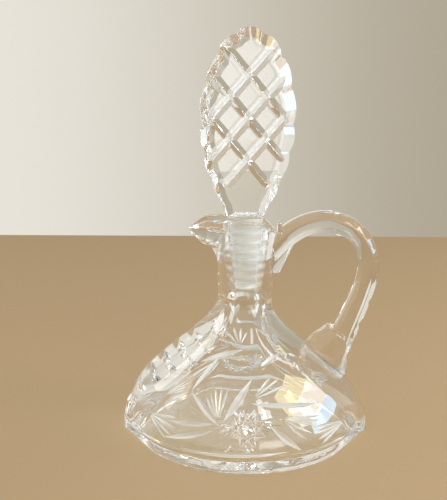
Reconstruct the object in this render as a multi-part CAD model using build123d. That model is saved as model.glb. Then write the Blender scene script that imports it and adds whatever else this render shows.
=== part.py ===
from build123d import *
import os
from math import acos, copysign, cos, hypot, pi, radians, sin, sqrt, tan

# Cut glass carafe: a blown and cut vessel, a strap handle fused to it and a ground-in stopper.
# Millimetres, +Z up, origin at the middle of the resting face.
# The pouring lip points to -X, the handle to +X, and the broad cut panels face -Y and +Y.

# Vessel, outside
corner_reach = 80.5        # from the axis to the pointed corners of the body, left and right
panel_reach = 70.5         # from the axis to the middle of the front and back panels
belly_height = 6.0         # height of the widest section
shoulder_height = 90.0     # height at which the body has narrowed to the neck
shoulder_fullness = 1.15   # above 1 the shoulder stays full for longer
neck_radius = 17.3         # outside of the neck at the shoulder
collar_height = 118.0      # height at which the neck starts to open into the lip
collar_swell = 0.7         # how much wider the neck is at the collar
base_rounding = 2.2        # at the edge of the resting face
corner_half_width = 4.0    # half width of the side panels at the corners
side_spread = 27.0         # how much wider the side panels get on the shoulder
side_spread_shape = 0.78   # below 1 they are widest lower down
side_drop = 9.0            # how far the ridges stand back from the side panels
side_drop_shape = 0.7      # below 1 that is so lower down
panel_turn_belly = 60.0    # degrees over which a broad panel is round at the belly
panel_turn_neck = 16.0     # and at the neck
panel_turn_shape = 3.0     # above 1 the round stretch shortens sooner
facet_turn = 45.0          # degrees over which each half of the spine's panel is round
body_steps = 9             # sections between the belly and the neck

# Notched spine under the pouring lip
spine_pride = 8.0          # how far the spine stands out from the side panel
spine_foot_height = 28.0   # height at which the spine has run out
neck_notch_drop = 9.0      # below the shoulder's top the notches already have the neck's size
body_notch_pitch = 12.0    # along the spine, on the body
body_notch_depth = 2.6
neck_notch_pitch = 6.8     # along the spine, on the neck
neck_notch_depth = 1.1
notch_angle = 100.0        # between the two faces of a notch
first_notch_height = 24.0
last_notch_height = 114.0

# Vessel, inside
wall = 4.5                 # at the belly
floor_thickness = 5.0
chamber_corner = 7.0       # rounding between the floor and the wall
chamber_corner_steps = 4   # sections of that rounding
throat_radius = 7.8        # clear way between the plug and the chamber
throat_relief = 1.0        # the ground seat goes on this far below the plug
throat_taper = 7.0         # length over which the seat narrows to the throat
chamber_steps = 9          # sections between the rounding and the throat

# Mitre cuts of the pinwheel on each broad panel: where they start and end (across, up), and their width
pinwheel_cuts = (
    ((-33, 43), (-15, 28), 4.2),
    ((-33, 43), (-14, 63), 3.6),
    ((-13, 30), (5, 52), 5.0),
    ((3, 40), (47, 35), 3.6),
    ((15, 29), (35, 12), 4.4),
    ((-18, 29), (-46, 25), 3.4),
    ((-17, 26), (-50, 15), 3.4),
    ((-28, 58), (0, 66), 4.2),
    ((24, 31), (47, 26), 3.2),
    ((-40, 12), (28, 13), 3.4),
    ((10, 57), (22, 63), 3.8),
)
mitre_angle = 112.0        # between the two faces of a cut
mitre_steps = 4            # straight stretches that make up the bottom of a cut
mitre_rise = 1.6           # how far the cutter stands out of the glass

# Mouth and pouring lip
rim_height = 143.5
rim_radius = 20.6
rim_heel_drop = 8.5        # the rim lies this much lower at the handle
collar_draw = 0.5          # how far the section is drawn out towards the lip: at the collar
flare_rise = 7.0           # above the collar
flare_draw = 3.4           # there
lip_belly_rise = 10.5      # above the collar, where the underside of the lip turns outwards
lip_belly_draw = 10.0      # there
lip_reach = 36.5           # from the axis to the tip of the lip
lip_lean = 1.3             # of the outside of the tip, over its thickness
lip_drop = 5.5             # the tip lies this much below the rim
lip_run = 11.0             # length over which the rim falls to the tip
lip_thickness = 3.0        # glass at the tip
lip_tip_radius = 8.0
lip_channel_radius = 6.5
lip_channel_rise = 5.0     # the trough climbs this much on its way to the tip

# Stopper
plug_top_radius = 11.4
plug_end_radius = 6.6
plug_length = 46.0
plug_clearance = 0.15      # between the two ground faces, all round
stopper_gap = 1.6          # between the rim and the foot of the head
head_length = 117.5
head_half_width = 30.6
head_low_length = 60.0     # of the head, below its widest place
head_foot_turn = 67.5      # degrees of a cosine that narrow the head down to its foot
head_thickness = 12.0
head_edge = 4.0            # thickness left at the rim of the head
head_bevel = 8.0           # width of the bevel, in the plane of the head
head_foot_bevel = 1.6      # and at the foot of the head
head_turn = 12.0           # the head stands turned about the axis by this many degrees
head_lean = 1.2            # and leans this many degrees towards the handle
plug_chamfer = 0.8         # at the round top of the plug, which carries the foot of the head
scallop_count = 7          # on each side of the head
scallop_depth = 1.9
first_scallop = 17.0       # degrees from the top of the head
scallop_step = 25.5        # degrees
lattice_half_width = 11.5
lattice_half_height = 13.2
lattice_depth = 1.9
lattice_angle = 110.0      # between the two faces of a groove
lattice_rows = 3
lowest_crossing = 35.3     # of the lattice, above the foot of the head
lowest_arm = 20.0          # how far the lowest grooves run on below that crossing

# Handle
strap_width = 16.0
strap_thickness = 12.8
strap_foot_thickness = 16.5
strap_swell = 0.3                       # share of the strap over which it thickens to the foot
strap_outer_bevel = 4.0
strap_inner_bevel = 2.0
strap_root_height = 121.0               # where the strap leaves the neck
strap_top_reach = 50.0                  # middle of the strap at its highest
strap_top_height = 142.0
strap_back_reach = 79.0                 # and at its furthest from the axis
strap_back_height = 113.0
strap_rise_share = (0.486, 0.738)       # a point of its line between root and top: share of way out, and up
strap_turn_share = (0.828, 0.397)       # between top and back
strap_fall_share = (0.351, 0.475)       # between back and foot
strap_steps = 14                        # sections along the strap
handle_notch_pitch = 15.2
handle_notch_depth = 1.3
handle_notch_angle = 128.0
handle_notch_count = 6
first_handle_notch = 48.5               # along the strap, from its root
tab_width = 13.0
tab_low_height = 109.0                  # lower end of the tab on the neck
tab_low_reach = 4.5                     # from the neck, at that end
tab_reach = 14.4                        # from the neck, along the strap
tab_reach_height = 130.0
tongue_height = 141.0                   # upper end of the tongue beside the rim
tongue_length = 8.0
tongue_gap = 3.0                        # from the neck's radius to the tongue
tongue_thickness = 3.0
foot_width = 22.0
foot_length = 34.0                      # along the shoulder
foot_middle_height = 49.5               # of the shoulder, under the middle of the foot
foot_toe_rise = 2.0                     # of the foot's lower end above the shoulder
foot_heel_rise = 9.0                    # and of its upper end
foot_neck_rise = 20.0                   # where the foot has narrowed to the strap
foot_neck_length = 18.0                 # there, along the shoulder
foot_neck_shift = 4.8                   # from the middle of the foot, up the shoulder
strap_end_shift = -2.0                  # where the strap ends inside the foot, up the shoulder
strap_end_rise = 7.0                    # and above it
neck_embed = 2.0                        # how far the raw handle reaches into the neck
foot_embed = 5.0                        # and into the shoulder

# Cutting
cutter_rise = 6.0                       # how far a notch cutter stands out of the glass
slope_step = 0.5                        # either way, to measure a slope


def way_up(height):
    """Share of the way from the belly (0) to the top of the shoulder (1)."""
    return min(max((height - belly_height) / (shoulder_height - belly_height), 0.0), 1.0)


def reach(height, belly_reach, neck=neck_radius):
    """Distance from the axis at a height, for a panel that reaches so far at the belly."""
    share = 0.5 * (1.0 + cos(pi * way_up(height) ** shoulder_fullness))
    return neck + (belly_reach - neck) * share


def ridge_point(height):
    """Where a broad panel meets a side panel: distance to the side and to the front."""
    way = way_up(height)
    neck_way = neck_radius * sin(radians(45))
    spread = side_spread * sin(pi * way**side_spread_shape)
    drop = side_drop * sin(pi * way**side_drop_shape)
    corner_drop = corner_half_width / 2
    to_front = corner_half_width + (neck_way - corner_half_width) * way + spread
    drop += corner_drop + (neck_radius - neck_way - corner_drop) * way
    return reach(height, corner_reach) - drop, to_front


def spine_reach(height):
    """Distance from the axis to the crest of the spine, without its notches."""
    way = (height - spine_foot_height) / (shoulder_height - spine_foot_height)
    pride = spine_pride * sin(pi * min(max(way, 0.0), 1.0))
    return reach(height, corner_reach) + pride


def slope(outline, height):
    """Change of a distance from the axis per millimetre of height."""
    return (outline(height + slope_step) - outline(height - slope_step)) / (2 * slope_step)


def side_facet(start, end):
    """Arc between two points of a section, bulging away from the axis."""
    chord = end - start
    outward = Vector(-chord.Y, chord.X, 0)
    if outward.dot(start + end) < 0:
        outward = outward * -1
    middle = (start + end) * 0.5 + outward * (0.5 * tan(radians(facet_turn / 4)))
    return ThreePointArc(start, middle, end)


def panel_bend(height):
    """Where the round stretch of a broad panel ends on the right, and its direction there."""
    front_reach = reach(height, panel_reach)
    turn_share = (1.0 - way_up(height)) ** panel_turn_shape
    panel_turn = radians(panel_turn_neck + (panel_turn_belly - panel_turn_neck) * turn_share)
    shoulder = Vector(front_reach * sin(panel_turn), -front_reach * cos(panel_turn))
    return shoulder, Vector(cos(panel_turn), sin(panel_turn), 0)


def panel_point(across, height):
    """Point on the outside of the front panel."""
    shoulder, along = panel_bend(height)
    offset = abs(across)
    if offset <= shoulder.X:
        return Vector(across, -sqrt(shoulder.length**2 - offset**2), height)
    ridge_x, ridge_y = ridge_point(height)
    chord = Vector(ridge_x, -ridge_y) - shoulder
    inward = Vector(-along.Y, along.X)
    bend = chord.dot(chord) / (2 * chord.dot(inward))
    centre = shoulder + inward * bend
    return Vector(across, centre.Y - copysign(sqrt(bend**2 - (offset - centre.X) ** 2), bend), height)


def body_section(height, inset=0.0):
    """Closed section of the body: two broad panels, a plain side and a peaked side."""
    share = 1.0 - inset / reach(height, corner_reach)
    ridge_x, ridge_y = ridge_point(height)
    shoulder, along = panel_bend(height)
    front = Vector(0, -shoulder.length) * share
    shoulder = shoulder * share
    ridge = Vector(ridge_x, -ridge_y) * share
    side = Vector(reach(height, corner_reach), 0) * share
    crest = Vector(-spine_reach(height), 0) * share
    left_along = Vector(-along.X, along.Y)
    panel = [
        ThreePointArc(Vector(-shoulder.X, shoulder.Y), front, shoulder),
        TangentArc(shoulder, ridge, tangent=along),
        TangentArc(Vector(-shoulder.X, shoulder.Y), Vector(-ridge.X, ridge.Y), tangent=left_along),
    ]
    back = [edge.mirror(Plane.XZ) for edge in panel]
    sides = [
        ThreePointArc(ridge, side, Vector(ridge.X, -ridge.Y)),
        side_facet(Vector(-ridge.X, -ridge.Y), crest),
        side_facet(crest, Vector(-ridge.X, ridge.Y)),
    ]
    return Pos(0, 0, height) * make_face(panel + back + sides)


def body():
    """Solid glass from the resting face to the top of the shoulder."""
    half_rounded = base_rounding * (1.0 - cos(radians(45)))
    sections = [body_section(0.0, base_rounding), body_section(half_rounded, half_rounded)]
    for step in range(body_steps + 1):
        sections.append(body_section(belly_height + (shoulder_height - belly_height) * step / body_steps))
    return loft(sections)


def mouth_radius(height):
    """Outside of the neck above the collar, away from the lip."""
    collar = neck_radius + collar_swell
    return collar + (rim_radius - collar) * (height - collar_height) / (rim_height - collar_height)


def mouth_section(height, reach_out):
    """Round section drawn out to a rounded tip towards -X."""
    radius = mouth_radius(height)
    tip_way = reach_out - lip_tip_radius
    turn = acos((radius - lip_tip_radius) / tip_way)
    side = Vector(0, radius)
    tangent = Vector(-cos(turn), sin(turn))
    halfway = Vector(-sin((pi / 2 - turn) / 2), cos((pi / 2 - turn) / 2)) * radius
    leaving = tangent * radius
    arriving = Vector(-tip_way, 0) + tangent * lip_tip_radius
    edges = [ThreePointArc(side * -1, (radius, 0), side)]
    half = [ThreePointArc(side, halfway, leaving), Line(leaving, arriving)]
    edges += half
    edges.append(ThreePointArc(arriving, (-reach_out, 0), Vector(arriving.X, -arriving.Y)))
    edges += [edge.mirror(Plane.XZ) for edge in half]
    return Pos(0, 0, height) * make_face(edges)


def above_rim():
    """What the sweep of the rim cuts away: high at the mouth, lower at the tip and at the handle."""
    tip_height = rim_height - lip_drop
    top = rim_height + 2 * lip_thickness
    far = lip_reach + 2 * rim_radius
    heel = (rim_radius, rim_height - rim_heel_drop)
    outline = [
        Polyline((0, rim_height), (lip_run - lip_reach, rim_height), (-lip_reach, tip_height)),
        Polyline((-lip_reach, tip_height), (-far, tip_height), (-far, top), (far, top), (far, heel[1]), heel),
        ThreePointArc(heel, (heel[0] / 2, rim_height - rim_heel_drop / 4), (0, rim_height)),
    ]
    return extrude(Plane.XZ * make_face(outline), far, both=True)


def neck_and_lip():
    """Neck that opens into a mouth with a pouring lip, cut to the sweep of the rim."""
    collar = neck_radius + collar_swell
    neck_height = collar_height - shoulder_height
    neck = Cone(neck_radius, collar, neck_height, align=(Align.CENTER, Align.CENTER, Align.MIN))
    flare_height = collar_height + flare_rise
    lip_belly_height = collar_height + lip_belly_rise
    sections = [
        mouth_section(collar_height, collar + collar_draw),
        mouth_section(flare_height, mouth_radius(flare_height) + flare_draw),
        mouth_section(lip_belly_height, mouth_radius(lip_belly_height) + lip_belly_draw),
        mouth_section(rim_height - lip_drop - lip_thickness, lip_reach - lip_lean),
        mouth_section(rim_height + lip_thickness, lip_reach + lip_lean),
    ]
    return Pos(0, 0, shoulder_height) * neck + (loft(sections, ruled=True) - above_rim())


def plug_radius(below_rim):
    """Radius of the plug at a depth below the foot of the head."""
    return plug_top_radius - (plug_top_radius - plug_end_radius) * below_rim / plug_length


def head_foot_height():
    """Height of the foot of the stopper's head when the stopper is in."""
    return rim_height + stopper_gap


def chamber_section(height, inset=0.0):
    """Closed section of the chamber, which follows the body without its ridges."""
    front_reach = reach(height, panel_reach - wall, throat_radius) - inset
    side_reach = reach(height, corner_reach - wall, throat_radius) - inset
    share = side_reach / reach(height, corner_reach)
    ridge_x, ridge_y = ridge_point(height)
    ridge = Vector(ridge_x, -ridge_y) * share
    panel = ThreePointArc(Vector(-ridge.X, ridge.Y), (0, -front_reach), ridge)
    side = ThreePointArc(ridge, (side_reach, 0), Vector(ridge.X, -ridge.Y))
    return Pos(0, 0, height) * make_face([panel, side, panel.mirror(Plane.XZ), side.mirror(Plane.YZ)])


def chamber():
    """The hollow of the body, from its floor to the throat."""
    corner_top = floor_thickness + chamber_corner
    sections = []
    for step in range(chamber_corner_steps):
        turn = radians(90 * step / chamber_corner_steps)
        height = corner_top - chamber_corner * cos(turn)
        sections.append(chamber_section(height, chamber_corner * (1.0 - sin(turn))))
    for step in range(chamber_steps + 1):
        sections.append(chamber_section(corner_top + (shoulder_height - corner_top) * step / chamber_steps))
    return loft(sections)


def bore():
    """The throat and the ground seat of the plug."""
    seat_low = head_foot_height() - plug_length - throat_relief
    seat_top = head_foot_height() + lip_thickness
    low_seat_radius = plug_radius(head_foot_height() - seat_low) + plug_clearance
    top_seat_radius = plug_radius(head_foot_height() - seat_top) + plug_clearance
    outline = Polyline(
        (0, shoulder_height),
        (throat_radius, shoulder_height),
        (throat_radius, seat_low - throat_taper),
        (low_seat_radius, seat_low),
        (top_seat_radius, seat_top),
        (0, seat_top),
        close=True,
    )
    return revolve(Plane.XZ * make_face(outline), Axis.Z)


def lip_channel():
    """Trough that leads from the mouth out to the tip of the lip."""
    length = lip_reach + 2 * lip_tip_radius
    low = rim_height - lip_drop - lip_channel_rise
    path = Plane(origin=(0, 0, low + lip_channel_radius), z_dir=(-lip_reach, 0, lip_channel_rise))
    return path * Cylinder(lip_channel_radius, length, align=(Align.CENTER, Align.CENTER, Align.MIN))


def wedge(surface, depth, angle, length):
    """V-shaped cutter that lies in a surface plane, with its groove along the plane's X."""
    half = (cutter_rise + depth) * tan(radians(angle / 2))
    across = Plane(origin=surface.origin, x_dir=surface.y_dir, z_dir=surface.x_dir)
    triangle = make_face(Polyline((-half, cutter_rise), (0, -depth), (half, cutter_rise), close=True))
    return extrude(across * triangle, length / 2, both=True)


def spine_plane(height):
    """Plane that touches the crest of the spine, with its X across the spine."""
    lean = slope(spine_reach, height)
    return Plane(origin=(-spine_reach(height), 0, height), x_dir=(0, 1, 0), z_dir=(-1, 0, -lean))


def next_notch_height(height, pitch):
    """Height reached after walking one pitch up the crest of the spine."""
    walked = 0.0
    while walked < pitch:
        walked += hypot(slope_step, spine_reach(height + slope_step) - spine_reach(height))
        height += slope_step
    return height


def spine_notches():
    """Notch cutters from the foot of the spine up to the collar."""
    cutters = []
    height = first_notch_height
    while height < last_notch_height:
        on_body = height < shoulder_height - neck_notch_drop
        depth = body_notch_depth if on_body else neck_notch_depth
        pitch = body_notch_pitch if on_body else neck_notch_pitch
        cutters.append(wedge(spine_plane(height), depth, notch_angle, 2 * neck_radius))
        height = next_notch_height(height, pitch)
    return cutters


def mitre_cutter(start, end, width):
    """Cutter of a leaf-shaped groove between two places (across, up) on the front panel."""
    flare = tan(radians(mitre_angle / 2))
    along = (panel_point(*end) - panel_point(*start)).normalized()
    sections = []
    for step in range(mitre_steps + 1):
        share = step / mitre_steps
        across = start[0] + (end[0] - start[0]) * share
        height = start[1] + (end[1] - start[1]) * share
        sideways = panel_point(across + slope_step, height) - panel_point(across - slope_step, height)
        upward = panel_point(across, height + slope_step) - panel_point(across, height - slope_step)
        outward = sideways.cross(upward).normalized()
        square = Plane(origin=panel_point(across, height), x_dir=along.cross(outward), z_dir=along)
        depth = width / 2 / flare * sin(pi * share)
        half = (mitre_rise + depth) * flare
        triangle = Polyline((-half, -mitre_rise), (0, depth), (half, -mitre_rise), close=True)
        sections.append(square * make_face(triangle))
    return loft(sections, ruled=True)


def vessel(blank):
    """Body, neck and lip in one piece of glass, from the solid blank."""
    glass = blank - chamber()
    glass -= bore()
    glass -= lip_channel()
    cuts = [mitre_cutter(*cut) for cut in pinwheel_cuts]
    half_turn = Rot(0, 0, 180)
    return glass - spine_notches() - cuts - [half_turn * cut for cut in cuts]


def head_point(turn, inset=0.0):
    """Point of the head's outline, in degrees from its top (0) to its foot (180)."""
    wide = head_half_width - inset
    centre = head_low_length
    if turn <= 90:
        return Vector(wide * sin(radians(turn)), centre + (head_length - centre - inset) * cos(radians(turn)))
    way = (turn - 90) / 90
    foot_inset = inset * head_foot_bevel / head_bevel
    return Vector(wide * cos(radians(head_foot_turn * way)), centre - (centre - foot_inset) * way)


def head_outline(inset=0.0):
    """Scalloped outline of the head, drawn in a plane with its foot at the origin."""
    turns = [first_scallop + scallop_step * step for step in range(scallop_count)]
    notches = [head_point(turn, inset + scallop_depth) for turn in turns]
    right = []
    for index in range(scallop_count - 1):
        middle = head_point((turns[index] + turns[index + 1]) / 2, inset)
        right.append(ThreePointArc(notches[index], middle, notches[index + 1]))
    foot = head_point(180, inset)
    right.append(Line(notches[-1], foot))
    left = [edge.mirror(Plane.YZ) for edge in right]
    first = notches[0]
    top = ThreePointArc(Vector(-first.X, first.Y), head_point(0, inset), first)
    base = Line(Vector(-foot.X, foot.Y), foot)
    return make_face(right + left + [top, base])


def head_blank():
    """Slab with the scalloped outline and a bevel along both faces."""
    offsets = [
        (-head_thickness / 2, head_bevel),
        (-head_edge / 2, 0.0),
        (head_edge / 2, 0.0),
        (head_thickness / 2, head_bevel),
    ]
    sections = [Plane.XZ.offset(-offset) * head_outline(inset) for offset, inset in offsets]
    return loft(sections, ruled=True)


def lattice_grooves():
    """Crossing grooves on both faces of the head."""
    cutters = []
    pitch = 2 * lattice_half_height
    far = head_length
    for face in (-1, 1):
        for row in range(lattice_rows):
            crossing = Vector(0, face * head_thickness / 2, lowest_crossing + row * pitch)
            for lean in (-1, 1):
                along = Vector(lean * lattice_half_width, 0, lattice_half_height).normalized()
                below = lowest_arm if row == 0 else far
                middle = crossing + along * ((far - below) / 2)
                surface = Plane(origin=middle, x_dir=along, z_dir=(0, face, 0))
                cutters.append(wedge(surface, lattice_depth, lattice_angle, far + below))
    return cutters


def plug():
    """Ground plug, with a chamfer round its top."""
    outline = Polyline(
        (0, -plug_length),
        (plug_end_radius, -plug_length),
        (plug_top_radius, 0),
        (plug_top_radius - plug_chamfer, plug_chamfer),
        (0, plug_chamfer),
        close=True,
    )
    return revolve(Plane.XZ * make_face(outline), Axis.Z)


def stopper():
    """Solid glass stopper, in its seat."""
    head = head_blank() - lattice_grooves()
    whole = Rot(0, head_lean, 0) * head + plug()
    return Pos(0, 0, head_foot_height()) * Rot(0, 0, head_turn) * whole


def foot_seat():
    """Plane on the shoulder under the foot: X up the shoulder, Y out of the glass."""
    height = foot_middle_height
    lean = slope(lambda at: reach(at, corner_reach), height)
    return Plane(origin=(reach(height, corner_reach), 0, height), x_dir=(lean, 0, 1), z_dir=(0, 1, 0))


def strap_point(start, end, shares):
    """Point between two points of the strap's line, at its own shares of the way out and of the way up."""
    across, upwards = shares
    return Vector(start.X + (end.X - start.X) * across, 0, start.Z + (end.Z - start.Z) * upwards)


def strap_line():
    """Middle line of the strap, from inside the neck to inside the foot."""
    root = Vector(neck_radius - neck_embed, 0, strap_root_height)
    top = Vector(strap_top_reach, 0, strap_top_height)
    back = Vector(strap_back_reach, 0, strap_back_height)
    end = (foot_seat() * Pos(strap_end_shift, strap_end_rise, 0)).position
    return Spline(
        root,
        strap_point(root, top, strap_rise_share),
        top,
        strap_point(top, back, strap_turn_share),
        back,
        strap_point(back, end, strap_fall_share),
        end,
    )


def strap_section(thickness):
    """Section of the strap: X across it, Y away from the fingers."""
    half_width = strap_width / 2
    half = thickness / 2
    right = [
        (half_width - strap_inner_bevel, -half),
        (half_width, -half + strap_inner_bevel),
        (half_width, half - strap_outer_bevel),
        (half_width - strap_outer_bevel, half),
    ]
    left = [(-x, y) for x, y in reversed(right)]
    return make_face(Polyline(*right, *left, close=True))


def strap_plane(line, share):
    """Plane square to the strap at a share of its length."""
    return Plane(origin=line @ share, x_dir=(0, 1, 0), z_dir=line % share)


def strap():
    """Bevelled strap with its row of notches."""
    line = strap_line()
    sections = []
    for step in range(strap_steps + 1):
        share = step / strap_steps
        swell = max(share - 1.0 + strap_swell, 0.0) / strap_swell
        thickness = strap_thickness + (strap_foot_thickness - strap_thickness) * swell
        sections.append(strap_plane(line, share) * strap_section(thickness))
    cutters = []
    for index in range(handle_notch_count):
        square = strap_plane(line, (first_handle_notch + index * handle_notch_pitch) / line.length)
        surface = Plane(
            origin=square.origin + square.y_dir * (strap_thickness / 2),
            x_dir=(0, 1, 0),
            z_dir=square.y_dir,
        )
        cutters.append(wedge(surface, handle_notch_depth, handle_notch_angle, 2 * strap_width))
    return loft(sections) - cutters


def tab():
    """Tab that spreads the upper end of the strap along the neck, with a tongue beside the rim."""
    inside = neck_radius - neck_embed
    tongue_low = tongue_height - tongue_length
    outline = Polyline(
        (inside, tab_low_height),
        (neck_radius + tab_low_reach, tab_low_height),
        (neck_radius + tab_reach, tab_reach_height),
        (neck_radius + tongue_gap + tongue_thickness, tongue_low),
        (neck_radius + tongue_gap + tongue_thickness, tongue_height),
        (neck_radius + tongue_gap, tongue_height),
        (neck_radius + tongue_gap, tongue_low),
        (inside, tongue_low),
        close=True,
    )
    return extrude(Plane.XZ * make_face(outline), tab_width / 2, both=True)


def foot():
    """Thick round-ended foot that spreads the lower end of the strap on the shoulder."""
    seat = foot_seat()
    half = foot_length / 2
    half_neck = foot_neck_length / 2
    side = Polyline(
        (-half, -foot_embed),
        (-half, foot_toe_rise),
        (foot_neck_shift - half_neck, foot_neck_rise),
        (foot_neck_shift + half_neck, foot_neck_rise),
        (half, foot_heel_rise),
        (half, -foot_embed),
        close=True,
    )
    block = extrude(seat * make_face(side), foot_width / 2, both=True)
    floor = Plane(origin=seat.origin - seat.y_dir * foot_embed, x_dir=seat.x_dir, z_dir=seat.y_dir)
    return block & extrude(floor * SlotOverall(foot_length, foot_width), foot_embed + foot_neck_rise)


def handle(blank):
    """Handle trimmed to the outside of the vessel that it is fused to."""
    return (strap() + tab() + foot()) - blank


os.makedirs("parts", exist_ok=True)
vessel_blank = body() + neck_and_lip()
pieces = {"vessel": vessel(vessel_blank), "handle": handle(vessel_blank), "stopper": stopper()}
for name, piece in pieces.items():
    export_step(piece, f"parts/{name}.step")
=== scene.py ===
from math import acos, asin, atan2, cos, dist, hypot, pi, radians, sin, sqrt, tan

import bmesh
import bpy
from mathutils import Matrix, Vector


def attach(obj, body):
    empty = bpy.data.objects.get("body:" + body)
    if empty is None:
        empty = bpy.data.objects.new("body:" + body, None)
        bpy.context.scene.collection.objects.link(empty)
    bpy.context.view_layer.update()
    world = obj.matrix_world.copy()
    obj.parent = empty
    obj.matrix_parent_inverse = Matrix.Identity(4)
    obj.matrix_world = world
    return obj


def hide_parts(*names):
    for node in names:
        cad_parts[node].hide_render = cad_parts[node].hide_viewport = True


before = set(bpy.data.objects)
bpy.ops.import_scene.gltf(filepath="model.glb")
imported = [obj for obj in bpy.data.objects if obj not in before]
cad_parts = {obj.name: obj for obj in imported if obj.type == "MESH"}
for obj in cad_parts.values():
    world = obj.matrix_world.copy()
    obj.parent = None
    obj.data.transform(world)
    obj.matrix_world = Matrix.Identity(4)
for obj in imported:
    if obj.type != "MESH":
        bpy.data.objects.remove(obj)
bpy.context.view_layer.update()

# Cut glass carafe: looks for the vessel, the handle and the stopper.
# Shapes are worked out in millimetres and made in metres.
MM = 0.001

# Vessel, outside
CORNER_REACH = 80.5
PANEL_REACH = 70.5
BELLY_HEIGHT = 6.0
SHOULDER_HEIGHT = 90.0
SHOULDER_FULLNESS = 1.15
NECK_RADIUS = 17.3
COLLAR_HEIGHT = 118.0
COLLAR_SWELL = 0.7
BASE_ROUNDING = 2.2
CORNER_HALF_WIDTH = 4.0
SIDE_SPREAD = 27.0
SIDE_SPREAD_SHAPE = 0.78
SIDE_DROP = 9.0
SIDE_DROP_SHAPE = 0.7
PANEL_TURN_BELLY = 60.0
PANEL_TURN_NECK = 16.0
PANEL_TURN_SHAPE = 3
FACET_TURN = 45.0
RIDGE_FLAT = 1.1
SPINE_PRIDE = 8.0
SPINE_FOOT_HEIGHT = 28.0
RIM_HEIGHT = 143.5
RIM_RADIUS = 20.6
RIM_HEEL_DROP = 8.5
RIM_ROUNDING = 1.0
LIP_REACH = 36.5
LIP_DROP = 5.5
LIP_RUN = 11.0
LIP_TIP_RADIUS = 8.0
LIP_HEIGHTS = (118.0, 125.0, 128.5, 135.0, 146.5)
LIP_REACHES = (18.5, 22.1, 29.1, 35.2, 37.8)

# Vessel, inside
WALL = 4.5
FLOOR_THICKNESS = 5.0
CHAMBER_CORNER = 7.0
THROAT_RADIUS = 7.8
THROAT_RELIEF = 1.0
THROAT_TAPER = 7.0
SEAT_ROUNDING = 0.8
BORE_FLARE = 1.4                # of the cutter's top, in seat roundings
CHANNEL_RADIUS = 6.5
CHANNEL_RISE = 5.0
CHANNEL_START = -2.0
CHANNEL_TOP = 5.0               # above the rim
CHANNEL_FLARE = 1.5
LEAST_CHANNEL_WALL = 0.05
CHAMBER_END = SHOULDER_HEIGHT + 2.0
THROAT_START = SHOULDER_HEIGHT + 1.0
SEAT_TOP = 130.0

# Spine notches
NOTCH_ANGLE = 100.0
BODY_NOTCH = (12.0, 2.6)        # pitch and depth
NECK_NOTCH = (6.8, 1.1)
NECK_NOTCH_DROP = 9.0
FIRST_NOTCH_HEIGHT = 24.0
LAST_NOTCH_HEIGHT = 114.0

# Stopper
PLUG_TOP_RADIUS = 11.4
PLUG_END_RADIUS = 6.6
PLUG_LENGTH = 46.0
PLUG_CLEARANCE = 0.15
STOPPER_GAP = 1.6
HEAD_LENGTH = 117.5
HEAD_HALF_WIDTH = 30.6
HEAD_LOW_LENGTH = 60.0
HEAD_FOOT_TURN = 67.5
HEAD_THICKNESS = 12.0
HEAD_EDGE = 4.0
HEAD_BEVEL = 8.0
HEAD_FOOT_BEVEL = 1.6
HEAD_TURN = 12.0
HEAD_LEAN = 1.2
PLUG_CHAMFER = 0.8
PLUG_END_ROUNDING = 0.8
SCALLOP_COUNT = 7
SCALLOP_DEPTH = 1.9
FIRST_SCALLOP = 17.0
SCALLOP_STEP = 25.5
LATTICE_HALF_WIDTH = 11.5
LATTICE_HALF_HEIGHT = 13.2
LATTICE_DEPTH = 1.9
LATTICE_ANGLE = 110.0
LATTICE_ROWS = 3
LOWEST_CROSSING = 35.3
LOWEST_ARM = 20.0

HEAD_FOOT_HEIGHT = RIM_HEIGHT + STOPPER_GAP

# Handle
STRAP_WIDTH = 16.0
STRAP_THICKNESS = 12.8
STRAP_FOOT_THICKNESS = 16.5
STRAP_SWELL = 0.3
STRAP_OUTER_BEVEL = 4.0
STRAP_INNER_BEVEL = 2.0
STRAP_CORNER = 0.7
STRAP_ROOT = (15.3, 121.0)
STRAP_TOP = (50.0, 142.0)
STRAP_BACK = (79.0, 113.0)
STRAP_RISE_SHARE = (0.486, 0.738)
STRAP_TURN_SHARE = (0.828, 0.397)
STRAP_FALL_SHARE = (0.351, 0.475)
STRAP_STEPS = 120
HANDLE_NOTCH_PITCH = 15.2
HANDLE_NOTCH_DEPTH = 1.3
HANDLE_NOTCH_ANGLE = 128.0
HANDLE_NOTCH_COUNT = 6
FIRST_HANDLE_NOTCH = 48.5
TAB_WIDTH = 13.0
TAB_OUTLINE = (
    (15.3, 109.0), (21.8, 109.0), (31.7, 130.0), (23.3, 133.0),
    (23.3, 141.0), (20.3, 141.0), (20.3, 133.0), (15.3, 133.0),
)
TAB_ROUNDING = 0.6
FOOT_WIDTH = 22.0
FOOT_MIDDLE_HEIGHT = 49.5
FOOT_SIDE = ((-5.0, -17.0, 17.0), (2.0, -17.0, 17.0), (9.0, -12.0, 17.0), (20.0, -4.2, 13.8))
STRAP_END = (-2.0, 7.0)
FUSED_OVERLAP = 0.08

# Cutting
WHEEL_RISE = 1.6                # of a wheel's cutter above the glass
NOTCH_RISE = 6.0                # of a straight cutter
WHEEL_ANGLE = 112.0
TIP_SINK = 0.06                 # of a cut's pointed ends above the glass
CUTTER_OVERRUN = 4.0
SLOPE_STEP = 0.5
SHARE_STEP = 0.02
TINY = 1e-6

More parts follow.
